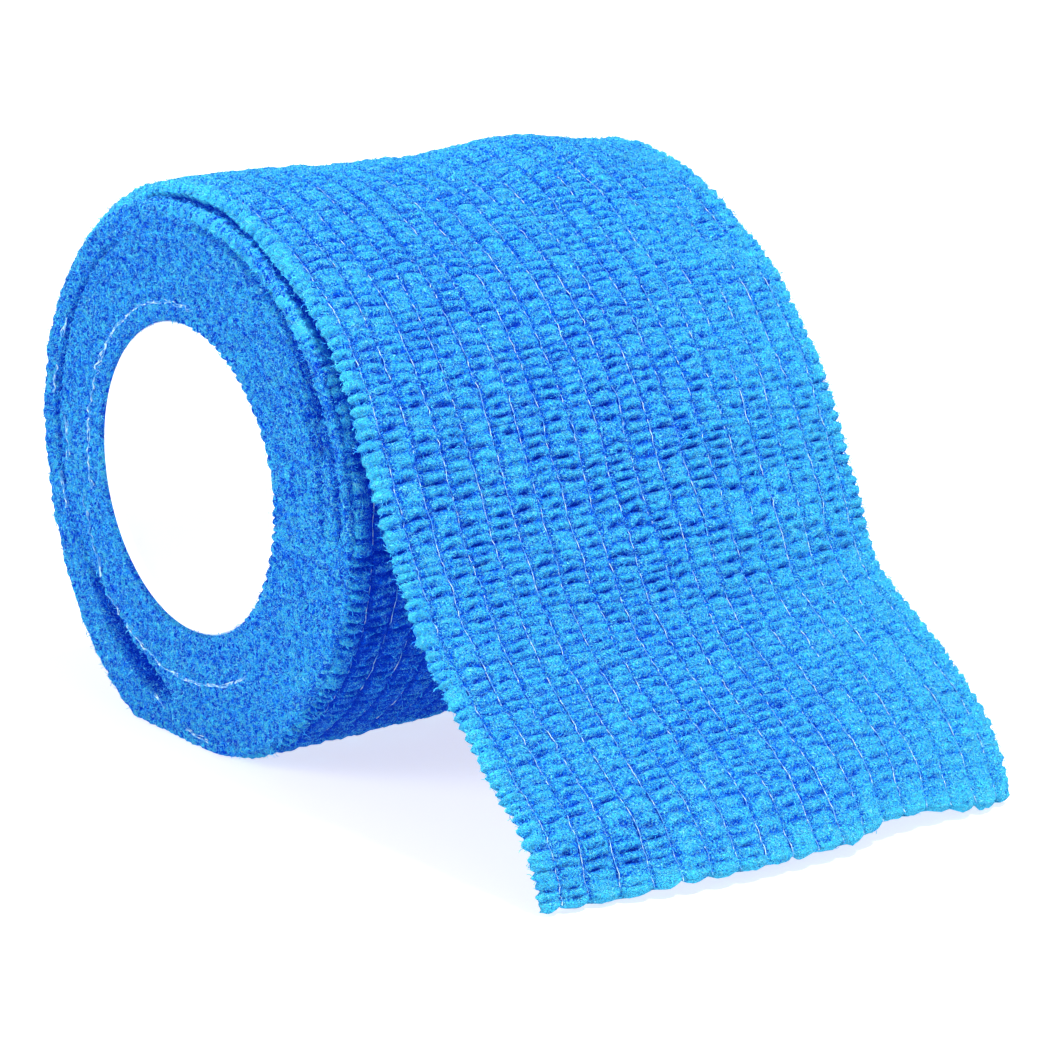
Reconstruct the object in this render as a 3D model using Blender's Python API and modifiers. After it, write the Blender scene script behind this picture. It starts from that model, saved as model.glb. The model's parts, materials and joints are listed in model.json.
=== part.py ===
"""Cohesive bandage roll: a crinkled felt strip wound on a plastic core tube.

The roll lies on its side with its core along Y. Its outer end leaves the roll at
the top, clears the side of the roll and runs down to the surface towards +X.

Frame: metres, +Z up. The origin is on the surface, under the core's axis, halfway
along the core. The near end of the roll faces -Y.
"""
import math
from collections import namedtuple

import bmesh
import bpy
from mathutils import Vector

MM = 0.001

# Driving dimensions, in millimetres.
TAPE_WIDTH = 50.0            # width of the strip, and so the length of the roll
TAPE_THICKNESS = 1.2         # one loose, crinkled thickness of the strip
CORE_DIAMETER = 28.0
CORE_WALL = 1.3
CORE_EDGE_RADIUS = 0.35      # rounding of the moulded tube's two rims
AXIS_HEIGHT = 24.6           # the core's axis above the surface
FIT_GAP = 0.3                # between pieces that touch

CORE_SEGMENTS = 72
CORE_EDGE_STEPS = 3
OUTLINE_STEP = 3.0           # degrees between points on the roll's outline
GAP_POINTS = 12              # points along one side of a gap between turns
ROWS_PER_SECTION = 4         # loose end: rows of faces from one section to the next
TAPE_COLUMNS = 10            # loose end: columns of faces across the strip

FELT_BLUE = (0.010, 0.235, 0.800, 1.0)
CORE_WHITE = (0.860, 0.870, 0.880, 1.0)

# How far the wound strip reaches from the core's axis. Angles are in degrees from
# +X up towards +Z. The roll is slack at its lower -X side, where its outer turns
# sag on to the surface, and it steps in by one thickness where the loose end
# leaves it, just past the top.
Reach = namedtuple("Reach", "angle radius")
OUTER_TURN = (
    Reach(-246.5, 23.25),    # foot of the step, under the loose end
    Reach(-270.0, 23.60),
    Reach(-290.0, 23.75),
    Reach(-307.0, 23.85),
    Reach(-320.0, 24.20),
    Reach(-335.0, 24.80),
    Reach(-355.0, 24.90),
    Reach(-375.0, 24.65),
    Reach(-392.0, 24.20),
    Reach(-410.0, 24.25),
    Reach(-435.0, 24.75),
    Reach(-455.0, 25.60),
    Reach(-472.0, 26.50),    # the slack turns lie out here
    Reach(-490.0, 25.55),
    Reach(-510.0, 24.85),
    Reach(-530.0, 24.30),
    Reach(-550.0, 24.40),
    Reach(-575.0, 24.55),
    Reach(-606.0, 24.90),    # head of the step, level with the loose end
)

# Gaps between turns that have come loose. Each runs right through the roll, from
# one angle to the other, at a radius that changes evenly, and is widest where
# `widest` says, as a share of its length.
Gap = namedtuple("Gap", "name start end start_radius end_radius width widest")
GAPS = (
    Gap("slack turns", -154.0, -97.0, 20.6, 21.3, 1.9, 0.68),
    Gap("parted turns", 18.0, 52.0, 22.3, 22.9, 0.7, 0.45),
)

# The loose end, section by section: where the middle of its thickness is at the
# near edge and at the far edge, and how far the middle of its width stands out.
Section = namedtuple("Section", "place near_x near_z far_x far_z crown")
LOOSE_END = (
    Section("leaves the outer turn", -8.35, 47.55, -8.30, 47.45, 0.0),
    Section("crosses the top", 0.00, 49.60, 0.00, 49.35, 0.0),
    Section("starts down", 8.60, 48.20, 8.50, 47.85, 0.0),
    Section("lifts off the roll", 15.40, 45.00, 15.10, 44.65, 0.1),
    Section("clears the side", 20.50, 41.30, 20.20, 41.00, 0.3),
    Section("steepest above", 24.30, 36.30, 24.20, 36.00, 0.5),
    Section("upper bend", 27.20, 30.80, 27.20, 30.90, 0.6),
    Section("half way down", 30.20, 24.90, 29.70, 25.60, 0.7),
    Section("lower bend", 34.10, 18.90, 32.60, 19.20, 0.7),
    Section("ramp", 39.60, 13.40, 37.40, 14.40, 0.5),
    Section("ramp's foot", 45.90, 8.30, 44.60, 9.90, 0.3),
    Section("tips over", 49.70, 4.90, 49.60, 5.80, 0.1),
    Section("hangs to the surface", 51.00, 1.60, 51.20, 1.80, 0.0),
)
TIP_HEIGHT = 1.0             # the cut end stands upright over this last height


def clear_scene():
    for obj in list(bpy.data.objects):
        bpy.data.objects.remove(obj, do_unlink=True)


def make_material(name, colour, roughness):
    material = bpy.data.materials.new(name)
    material.use_nodes = True
    shader = material.node_tree.nodes["Principled BSDF"]
    shader.inputs["Base Color"].default_value = colour
    shader.inputs["Roughness"].default_value = roughness
    shader.inputs["Metallic"].default_value = 0.0
    return material


def smooth_row(before, start, end, after, t):
    """A point between two rows of numbers, on a smooth curve through all four."""
    return [
        0.5 * (2 * b + (c - a) * t + (2 * a - 5 * b + 4 * c - d) * t ** 2
               + (3 * b - a - 3 * c + d) * t ** 3)
        for a, b, c, d in zip(before, start, end, after)
    ]


def smooth_rows(rows, steps):
    """Rows of numbers with `steps` smooth steps from each row to the next."""
    last = len(rows) - 1
    filled = []
    for i in range(last):
        around = [rows[max(i - 1, 0)], rows[i], rows[i + 1], rows[min(i + 2, last)]]
        filled += [smooth_row(*around, step / steps) for step in range(steps)]
    filled.append(list(rows[last]))
    return filled


def reach_at(angle):
    """The outer turn's radius at an angle that runs down through the table."""
    for i in range(len(OUTER_TURN) - 1):
        first, second = OUTER_TURN[i], OUTER_TURN[i + 1]
        if second.angle <= angle <= first.angle:
            before = OUTER_TURN[max(i - 1, 0)]
            after = OUTER_TURN[min(i + 2, len(OUTER_TURN) - 1)]
            t = (first.angle - angle) / (first.angle - second.angle)
            return smooth_row([before.radius], [first.radius], [second.radius],
                              [after.radius], t)[0]
    return OUTER_TURN[-1].radius


def on_roll(angle, radius):
    """A point at an angle and radius round the core's axis, none below the surface."""
    x = radius * math.cos(math.radians(angle))
    height = radius * math.sin(math.radians(angle))
    return x, max(height, -AXIS_HEIGHT)


def roll_outline():
    """The outside of the wound strip: one turn down from the step, back up to it."""
    first, last = OUTER_TURN[0].angle, OUTER_TURN[-1].angle
    steps = round((first - last) / OUTLINE_STEP)
    angles = [first + (last - first) * i / steps for i in range(steps + 1)]
    return [on_roll(angle, reach_at(angle)) for angle in angles]


def circle_outline(radius, segments):
    turn = 360.0 / segments
    return [on_roll(turn * i, radius) for i in range(segments)]


def gap_outline(gap):
    """A gap's pointed outline: out along its outer side and back along its inner."""
    bend = math.log(0.5) / math.log(gap.widest)
    outer, inner = [], []
    for i in range(GAP_POINTS + 1):
        t = i / GAP_POINTS
        angle = gap.start + (gap.end - gap.start) * t
        middle = gap.start_radius + (gap.end_radius - gap.start_radius) * t
        half = 0.5 * gap.width * math.sin(math.pi * t ** bend)
        outer.append(on_roll(angle, middle + half))
        inner.append(on_roll(angle, middle - half))
    return outer + inner[-2:0:-1]


def add_outline(curve, points):
    spline = curve.splines.new("POLY")
    spline.points.add(len(points) - 1)
    for point, (x, height) in zip(spline.points, points):
        point.co = (x * MM, height * MM, 0.0, 1.0)
    spline.use_cyclic_u = True


def make_wound_roll(collection, material):
    """The wound strip as a flat outline, extruded by the strip's width along Y."""
    curve = bpy.data.curves.new("wound_roll", "CURVE")
    curve.dimensions = "2D"
    curve.fill_mode = "BOTH"
    curve.extrude = TAPE_WIDTH / 2 * MM
    add_outline(curve, roll_outline())
    add_outline(curve, circle_outline(CORE_DIAMETER / 2 + FIT_GAP, CORE_SEGMENTS))
    for gap in GAPS:
        add_outline(curve, gap_outline(gap))
    curve.materials.append(material)
    roll = bpy.data.objects.new("wound_roll", curve)
    roll.rotation_euler = (math.pi / 2, 0.0, 0.0)
    roll.location = (0.0, 0.0, AXIS_HEIGHT * MM)
    collection.objects.link(roll)
    return roll


def make_core_tube(collection, material):
    """The core: its wall's section, with rounded rims, turned about the axis."""
    outer = CORE_DIAMETER / 2
    inner = outer - CORE_WALL
    half = TAPE_WIDTH / 2
    rounding = CORE_EDGE_RADIUS
    corners = (
        (outer - rounding, half - rounding, 90.0),
        (outer - rounding, rounding - half, 0.0),
        (inner + rounding, rounding - half, -90.0),
        (inner + rounding, half - rounding, -180.0),
    )
    section = []
    for radius, height, start in corners:
        for step in range(CORE_EDGE_STEPS + 1):
            angle = math.radians(start - 90.0 * step / CORE_EDGE_STEPS)
            section.append(Vector(((radius + rounding * math.cos(angle)) * MM, 0.0,
                                   (height + rounding * math.sin(angle)) * MM)))
    mesh = bpy.data.meshes.new("core_tube")
    edges = [(i, (i + 1) % len(section)) for i in range(len(section))]
    mesh.from_pydata(section, edges, [])
    mesh.materials.append(material)
    core = bpy.data.objects.new("core_tube", mesh)
    core.rotation_euler = (math.pi / 2, 0.0, 0.0)
    core.location = (0.0, 0.0, AXIS_HEIGHT * MM)
    collection.objects.link(core)
    turn = core.modifiers.new("Turn", "SCREW")
    turn.steps = turn.render_steps = CORE_SEGMENTS
    turn.use_merge_vertices = True
    turn.merge_threshold = 0.00001
    return core


def make_loose_end(collection, material):
    """The strip's outer end: a sheet lofted from the near edge to the far edge."""
    rows = smooth_rows([section[1:] for section in LOOSE_END], ROWS_PER_SECTION)
    tip = rows[-1]
    rows.append([tip[0], TIP_HEIGHT, tip[2], TIP_HEIGHT, 0.0])
    rows.append([tip[0], 0.0, tip[2], 0.0, 0.0])
    shape = bmesh.new()
    grid = []
    for i, (near_x, near_z, far_x, far_z, crown) in enumerate(rows):
        before, after = rows[max(i - 1, 0)], rows[min(i + 1, len(rows) - 1)]
        along = Vector((after[0] - before[0], after[1] - before[1])).normalized()
        line = []
        for column in range(TAPE_COLUMNS + 1):
            across = column / TAPE_COLUMNS
            share = across * across * (3.0 - 2.0 * across)
            stand_out = crown * 4.0 * across * (1.0 - across)
            x = near_x + (far_x - near_x) * share - along.y * stand_out
            z = near_z + (far_z - near_z) * share + along.x * stand_out
            y = (across - 0.5) * TAPE_WIDTH
            line.append(shape.verts.new((x * MM, y * MM, z * MM)))
        grid.append(line)
    for first, second in zip(grid, grid[1:]):
        for column in range(TAPE_COLUMNS):
            shape.faces.new((first[column], second[column],
                             second[column + 1], first[column + 1]))
    mesh = bpy.data.meshes.new("loose_end")
    shape.to_mesh(mesh)
    shape.free()
    mesh.materials.append(material)
    sheet = bpy.data.objects.new("loose_end", mesh)
    collection.objects.link(sheet)
    thicken = sheet.modifiers.new("Thickness", "SOLIDIFY")
    thicken.thickness = TAPE_THICKNESS * MM
    thicken.offset = 0.0
    thicken.use_even_offset = False
    return sheet


def shade(obj):
    if obj.type == "MESH":
        obj.data.shade_smooth()


def build():
    clear_scene()
    collection = bpy.data.collections.new("cohesive_bandage_roll")
    bpy.context.scene.collection.children.link(collection)
    felt = make_material("blue_felt", FELT_BLUE, 0.85)
    plastic = make_material("white_plastic", CORE_WHITE, 0.35)
    pieces = (
        make_core_tube(collection, plastic),
        make_wound_roll(collection, felt),
        make_loose_end(collection, felt),
    )
    for piece in pieces:
        shade(piece)


build()
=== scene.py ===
# %% [markdown]
# # A cohesive bandage roll
#
# Cohesive bandage is a strip of nonwoven felt, laminated over parallel elastic
# threads. The threads pull the felt up into small cross puckers, so the strip
# stretches in use. This roll lies on its side with its end run out in front.
#
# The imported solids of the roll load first. They stay as they are: each finished
# piece below is built where its solid is and stands in for it.

# %% Load the solids
import json
import math

import bpy
import numpy as np
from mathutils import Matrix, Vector

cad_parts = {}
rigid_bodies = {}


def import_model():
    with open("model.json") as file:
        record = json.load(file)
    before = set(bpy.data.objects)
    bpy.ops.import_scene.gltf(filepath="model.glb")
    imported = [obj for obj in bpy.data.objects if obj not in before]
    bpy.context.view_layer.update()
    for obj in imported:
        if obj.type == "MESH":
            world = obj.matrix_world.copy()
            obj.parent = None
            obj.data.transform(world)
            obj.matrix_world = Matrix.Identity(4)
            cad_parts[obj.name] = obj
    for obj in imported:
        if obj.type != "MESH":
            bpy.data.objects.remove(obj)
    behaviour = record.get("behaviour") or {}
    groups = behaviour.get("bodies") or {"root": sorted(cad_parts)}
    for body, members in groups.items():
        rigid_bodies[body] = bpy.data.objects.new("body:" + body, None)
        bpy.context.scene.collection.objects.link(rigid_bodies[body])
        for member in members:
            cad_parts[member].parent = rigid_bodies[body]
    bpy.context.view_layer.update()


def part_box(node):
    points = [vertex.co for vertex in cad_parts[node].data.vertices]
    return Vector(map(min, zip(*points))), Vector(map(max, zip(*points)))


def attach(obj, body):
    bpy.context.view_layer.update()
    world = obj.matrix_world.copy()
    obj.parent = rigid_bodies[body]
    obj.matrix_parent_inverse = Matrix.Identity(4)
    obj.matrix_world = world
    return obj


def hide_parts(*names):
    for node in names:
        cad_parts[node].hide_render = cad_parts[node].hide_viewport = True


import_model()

MM = 0.001

# %% [markdown]
# The core tube gives the roll's axis, its width and the radius where the winding
# starts. Everything else is placed from those, in millimetres, and turned to
# metres only when a mesh is made.

# %% Read the roll's main sizes
core_low, core_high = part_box("core_tube")
axis_height = (core_low.z + core_high.z) / 2 / MM
core_radius = (core_high.x - core_low.x) / 2 / MM
near_y, far_y = core_low.y / MM, core_high.y / MM
strip_width = far_y - near_y
print("axis height", round(axis_height, 2), "core radius", round(core_radius, 2),
      "strip width", round(strip_width, 2), "mm")

# %% [markdown]
# ## Camera, light and table
#
# A long lens from a little above keeps the round core almost undistorted. The
# camera looks at a point beside the core's near rim, so that the roll and its
# loose end sit in the middle of the picture.

# %% Place the camera
CAMERA_AZIMUTH = 53.6      # degrees round from straight in front of the near end
CAMERA_HEIGHT = 16.6       # degrees above the table
CAMERA_DISTANCE = 436.7    # mm from the point it looks at
FIELD = 11.97              # degrees across the picture
AIM_RIGHT, AIM_UP = 29.4, -3.95     # mm from the middle of the near rim


def in_scene(name, data):
    """A new object that holds this mesh, lamp or camera, put in the scene."""
    obj = bpy.data.objects.new(name, data)
    bpy.context.scene.collection.objects.link(obj)
    return obj


azimuth, height = math.radians(CAMERA_AZIMUTH), math.radians(CAMERA_HEIGHT)
back = Vector((math.sin(azimuth) * math.cos(height),
               -math.cos(azimuth) * math.cos(height), math.sin(height)))
right = Vector((math.cos(azimuth), math.sin(azimuth), 0.0))
up = back.cross(right)
aim = Vector((0.0, near_y, axis_height)) + right * AIM_RIGHT + up * AIM_UP
camera = in_scene("camera", bpy.data.cameras.new("camera"))
camera.data.angle = math.radians(FIELD)
camera.data.clip_start, camera.data.clip_end = 0.01, 20.0
camera.location = (aim + back * CAMERA_DISTANCE) * MM
camera.rotation_euler = back.to_track_quat("Z", "Y").to_euler()
bpy.context.scene.camera = camera
print("camera at", [round(c, 3) for c in camera.location])

# %% [markdown]
# The table is one white sheet, big enough that its edge is out of the main view. The
# light is a studio's: a white room for the soft fill, a lamp high above for shape, a
# weaker and broader one at the near end, and a faint one in front.

# %% Lay the table and hang the lamps
TABLE_SIZE, TABLE_HEIGHT = 6.0, -0.0002      # m; it lies just under the roll
ROOM_LIGHT = 0.32
ROLL_MIDDLE = Vector((0.015, 0.0, 0.02))
LAMPS = {  # place in m, width in m, power in W
    "key": ((0.24, 0.14, 0.82), 0.20, 12.7),
    "near_fill": ((-0.25, -0.80, 0.32), 0.40, 6.2),
    "front_fill": ((0.75, -0.10, 0.50), 0.40, 0.5),
}


def plane(name, size, height):
    half = size / 2
    mesh = bpy.data.meshes.new(name)
    mesh.from_pydata([(-half, -half, height), (half, -half, height),
                      (half, half, height), (-half, half, height)], [], [(0, 1, 2, 3)])
    return in_scene(name, mesh)


def lamp(name, place, size, power):
    """A square lamp that is aimed at the roll."""
    light = bpy.data.lights.new(name, "AREA")
    light.size, light.energy = size, power
    obj = in_scene(name, light)
    obj.location = place
    obj.rotation_euler = (Vector(place) - ROLL_MIDDLE).to_track_quat("Z", "Y").to_euler()


table = plane("table", TABLE_SIZE, TABLE_HEIGHT)
for name, (place, size, power) in LAMPS.items():
    lamp(name, place, size, power)
room = bpy.data.worlds.new("room")
room.use_nodes = True
backdrop = room.node_tree.nodes["Background"]
backdrop.inputs["Color"].default_value = (1.0, 1.0, 1.0, 1.0)
backdrop.inputs["Strength"].default_value = ROOM_LIGHT
bpy.context.scene.world = room
bpy.context.scene.view_settings.view_transform = "Standard"

# %% [markdown]
# ## Numbers that wander
#
# Felt is uneven everywhere, but not with sharp jumps. Smooth noise gives that: a
# random value on each point of a grid, and a smooth curve between them. It is
# worked out here for whole arrays at once, always from the same seeds.

# %% Make smooth noise
def scramble(*whole, seed=0):
    """A random value from 0 to 1 for each set of whole numbers."""
    total = np.full(np.broadcast(*whole).shape, seed * 7919 + 101, dtype=np.int64)
    for number, step in zip(whole, (374761393, 668265263, 2147483647)):
        total = total + np.asarray(number, dtype=np.int64) * step
    total = (total ^ (total >> 13)) * 1274126177 & 0x7FFFFFFF
    total = (total ^ (total >> 16)) * 668265263 & 0x7FFFFFFF
    return ((total ^ (total >> 15)) & 0xFFFF) / 65535.0


def smooth_step(low, high, value):
    """0 below low, 1 above high, smooth between; the other way round if low is more."""
    t = np.clip((value - low) / (high - low), 0.0, 1.0)
    return t * t * (3.0 - 2.0 * t)


def wander(x, y, seed=0):
    """Smooth noise from -1 to 1, with features about one unit across."""
    x, y = np.broadcast_arrays(np.asarray(x, float), np.asarray(y, float))
    column, row = np.floor(x), np.floor(y)
    fx, fy = smooth_step(0, 1, x - column), smooth_step(0, 1, y - row)
    near = scramble(column, row, seed=seed) * (1 - fx) + scramble(column + 1, row, seed=seed) * fx
    far = (scramble(column, row + 1, seed=seed) * (1 - fx)
           + scramble(column + 1, row + 1, seed=seed) * fx)
    return (near * (1 - fy) + far * fy) * 2.0 - 1.0


print("noise from", round(float(wander(0.3, 0.7)), 3), "to", round(float(wander(5.3, 2.7)), 3))

# %% [markdown]
# ## The crinkled felt
#
# Eighteen elastic threads run along the strip. Between two threads the felt puffs
# up into a rib, and each rib is broken across by puckers that don't line up with
# its neighbour's. One function gives the felt's height at any place on the strip:
# how far along it, and how far across it. Both the loose end and the outer turn
# use it, so that the pattern runs on from one to the other.

# %% Describe the felt's relief
THREADS = 18
THREAD_PITCH = 2.72
NEAR_SHARE = 0.47          # of the felt outside the threads, how much is at the near edge
MARGIN = (strip_width - (THREADS - 1) * THREAD_PITCH) * NEAR_SHARE
PUCKER_PITCH = 1.00
FELT_HALF = 0.28           # half of the felt's own thickness
RIB_HEIGHT = 0.12
PUCKER_HEIGHT = 0.66
RIB_POWER, PUCKER_POWER = 0.44, 0.70      # under 1: broad round tops, narrow grooves
PLAIN_SHARE = 0.42         # of the creases, how many have no dent
DENT_DEPTH, WRINKLE_DEPTH, NAP_HEIGHT = 0.34, 0.12, 0.060


def thread_drift(along, thread):
    """How far a thread strays sideways from its straight line."""
    return 0.16 * wander(along / 3.1, thread * 7.3, seed=3) + 0.12 * wander(
        along / 9.0, thread * 5.1, seed=4)


def across_strip(along, rib_place):
    """How far across the strip a place is, counted in ribs from the first thread."""
    rib = np.floor(rib_place)
    in_rib = rib_place - rib
    drift = (thread_drift(along, rib) * (1 - in_rib) + thread_drift(along, rib + 1) * in_rib)
    return MARGIN + THREAD_PITCH * rib_place + drift


def felt_relief(along, rib_place):
    """Height over the felt, in mm, how much painted crease shade each place gets, and which
    pucker.
    """
    rib = np.floor(rib_place)
    in_rib = rib_place - rib
    across = THREAD_PITCH * rib_place
    puff = np.abs(np.sin(np.pi * in_rib)) ** RIB_POWER
    count = (along / PUCKER_PITCH + 0.8 * wander(along / 5.0, rib * 3.7, seed=5)
             + 9.0 * scramble(rib, seed=6)
             + 0.15 * wander(along / 1.3, across / 1.1, seed=7)
             + np.cos(2 * np.pi * in_rib) * (
                 0.05 + 0.10 * wander(along / 2.2, rib * 2.3, seed=8)))
    crease_number = np.round(count)
    depth = 0.62 + 0.38 * scramble(crease_number, rib, seed=9)
    depth = depth * (0.84 + 0.26 * wander(along / 0.9, across / 0.9, seed=10))
    depth = depth * (0.45 + 0.55 * smooth_step(0.0, 4.5, along))      # flatter at the cut end
    far_ramp = smooth_step(26, 46, across) * smooth_step(66, 44, along)
    depth = depth * (1.0 - 0.30 * far_ramp)                           # and on the far ramp
    rise = np.abs(np.sin(np.pi * count)) ** PUCKER_POWER
    pucker = 1.0 - depth * (1.0 - rise)
    dented = scramble(crease_number, rib, seed=11) > PLAIN_SHARE
    sideways = 0.5 + 0.3 * (scramble(crease_number, rib, seed=12) - 0.5)
    dent = dented * np.exp(-(((count - crease_number) / 0.25) ** 2)
                           - (((in_rib - sideways) / 0.21) ** 2))
    nap = (NAP_HEIGHT * wander(along / 0.55, across / 0.50, seed=13)
           + NAP_HEIGHT * wander(along / 0.32, across / 0.34, seed=14))
    wrinkle = np.clip(1.0 - 3.2 * np.abs(wander(along / 0.75, across / 1.7, seed=16)), 0.0, 1.0)
    swell = 1.0 + 0.15 * wander(along / 2.3, across / 2.9, seed=15)
    high = (RIB_HEIGHT * puff + PUCKER_HEIGHT * pucker * (0.25 + 0.75 * puff)) * swell
    high = high - DENT_DEPTH * dent - WRINKLE_DEPTH * wrinkle + nap
    # The crease value is painted shade: the felt's colour darkens in creases, dents and wrinkles,
    # and pales where the nap rises.
    crease = np.clip(0.80 - pucker * (0.52 + 0.26 * puff) + 0.62 * dent + 0.22 * wrinkle
                     - nap, 0.0, 1.30)
    aside = np.minimum(in_rib, 1.0 - in_rib)          # shares of a rib from the thread
    # Painted shade beside each thread.
    crease = crease + 0.32 * np.exp(-((aside / 0.13) ** 2))
    # Less painted shade near the cut end and on the far ramp.
    crease = crease * (0.80 + 0.20 * smooth_step(10, 45, along)) * (1.0 - 0.36 * far_ramp)
    return high, crease, count


sample = felt_relief(*np.meshgrid(np.arange(0, 40, 0.2), np.arange(0, 17, 0.07)))[0]
print("relief from", round(sample.min(), 2), "to", round(sample.max(), 2), "mm")

# %% [markdown]
# ## The strip's path
#
# Seen from its near edge, the strip climbs from the table to the top of the roll
# and then goes round it. The path is a short table of places read off a smooth
# curve. The near and far edges don't bend alike: the far edge drops more steeply
# and then runs out flatter, so each row has both.

# %% Set out the loose end
# Columns: near edge x and height, far edge x and height, crown, set-back (mm).
# The crown is how far the middle of the width stands out; the set-back is how far
# the strip has slid along the core from the roll's near face.
LOOSE_END = [
    (51.70, 0.00, 53.70, 0.00, 1.9, -0.2),
    (51.15, 1.60, 52.50, 1.90, 1.7, -0.1),
    (50.05, 4.30, 50.30, 4.90, 1.3, 0.1),
    (48.30, 6.30, 47.90, 7.30, 0.9, 0.2),
    (45.90, 8.20, 44.60, 9.70, 0.6, 0.3),
    (42.60, 10.90, 41.00, 12.00, 0.4, 0.3),
    (39.50, 13.40, 37.60, 13.90, 0.5, 0.3),
    (36.60, 16.10, 34.70, 15.90, 0.6, 0.4),
    (34.10, 18.80, 32.70, 19.00, 0.7, 0.4),
    (32.00, 21.80, 31.20, 22.40, 0.7, 0.5),
    (30.20, 24.70, 29.40, 25.80, 0.6, 0.5),
    (27.30, 30.80, 26.80, 30.60, 0.5, 0.6),
    (25.70, 34.00, 24.75, 33.70, 0.4, 0.7),
    (23.40, 37.80, 21.75, 36.90, 0.2, 0.8),
    (20.30, 41.35, 18.75, 40.00, 0.0, 0.9),
    (16.00, 44.85, 14.60, 42.75, 0.1, 1.0),
    (9.30, 48.20, 8.50, 46.35, 0.2, 1.1),
    (4.60, 49.65, 4.30, 47.90, 0.3, 1.2),
]
# The rest of the strip, round the core: angle up from +X, radius of the felt's
# middle at the near and the far edge, set-back.
OUTER_TURN = [
    (90.0, 25.35, 24.10, 1.2),
    (105.0, 25.20, 24.30, 1.2),
    (120.0, 25.00, 24.40, 1.2),
    (150.0, 24.80, 24.50, 1.2),
    (180.0, 24.75, 24.40, 1.2),
    (205.0, 25.00, 24.80, 1.1),
    (225.0, 25.55, 25.30, 1.0),
    (240.0, 26.20, 26.00, 0.9),
    (255.0, 26.20, 26.20, 0.9),
    (275.0, 24.70, 24.80, 1.0),
    (290.0, 24.40, 24.40, 0.9),
    (310.0, 24.05, 24.10, 0.7),
    (330.0, 24.10, 24.20, 0.7),
    (350.0, 24.55, 24.40, 0.7),
    (370.0, 24.60, 24.30, 0.7),
    (390.0, 24.55, 24.10, 0.7),
    (405.0, 24.20, 23.70, 0.0),
    (425.0, 23.90, 23.20, 0.0),
    (460.0, 23.60, 22.90, 0.0),
]
TABLE_CLEARANCE = 0.55     # lowest the felt's middle goes: half of it and its relief


def smooth_rows(rows, steps):
    """Rows of numbers with `steps` smooth steps from each row to the next."""
    rows = np.array(rows, float)
    ends = np.vstack([2 * rows[0] - rows[1], rows, 2 * rows[-1] - rows[-2]])
    t = (np.arange(steps) / steps)[:, None]
    filled = []
    for a, b, c, d in zip(ends, ends[1:], ends[2:], ends[3:]):
        filled.append(0.5 * (2 * b + (c - a) * t + (2 * a - 5 * b + 4 * c - d) * t ** 2
                             + (3 * b - a - 3 * c + d) * t ** 3))
    return np.vstack(filled + [rows[-1:]])


def turn_row(angle, near_radius, far_radius, set_back):
    c, s = math.cos(math.radians(angle)), math.sin(math.radians(angle))
    heights = [max(axis_height + r * s, TABLE_CLEARANCE) for r in (near_radius, far_radius)]
    crown = 0.4 * float(smooth_step(150.0, 100.0, angle))
    return (near_radius * c, heights[0], far_radius * c, heights[1], crown, set_back)


turn_table = smooth_rows(OUTER_TURN, 12)
path = smooth_rows(LOOSE_END + [turn_row(*row) for row in turn_table[::4]], 8)
middle_x, middle_z = (path[:, 0] + path[:, 2]) / 2, (path[:, 1] + path[:, 3]) / 2
step = np.hypot(np.diff(middle_x), np.diff(middle_z))
path_length = np.concatenate([[0.0], np.cumsum(step)])
top_of_roll = float(path_length[np.argmax(middle_z)])
print("strip laid out:", round(path_length[-1], 1), "mm")

# %% [markdown]
# A place on the strip is given by how far along it and how far across it. Between its
# edges the felt isn't flat: it crowns at its middle, sinks into soft hollows where it
# crosses the top of the roll, and ripples at its cut end. One function adds all that
# up, and felt and threads both use it, so that they can't drift apart.

# %% Find any place on the strip
SLOPE_STEP = 0.4           # mm along the strip on each side, to measure a slope


def strip_frame(along):
    """Each edge's x and height, crown and set-back at `along`, and the edges' slopes."""
    def columns(place, number):
        return np.stack([np.interp(place, path_length, path[:, i]) for i in range(number)],
                        axis=-1)

    return columns(along, 6), columns(along + SLOPE_STEP, 4) - columns(along - SLOPE_STEP, 4)


# The cut end is not ruler-straight: mm across the strip, then mm it reaches out or lifts.
TIP_OUT = ((0, 6, 14, 20, 30, 36, 41, 46, 50), (.3, .3, 1.8, 2.2, 2.0, .6, .6, 1.1, .9))
TIP_LIFT = ((0, 6, 14, 30, 36, 40, 46, 50), (0, 0, .60, .75, 1.40, 1.20, .35, .50))
# Hollows over the top of the roll: depth in mm (a ridge if negative), then middle and
# width as shares of the strip's width. They fade out along the strip.
TOP_HOLLOWS = ((0.90, 0.36, 0.20), (0.70, 0.59, 0.10), (-0.40, 0.86, 0.08))
FAR_EDGE_HOLLOW = 1.1
TOP_FADE = 15.0


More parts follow.
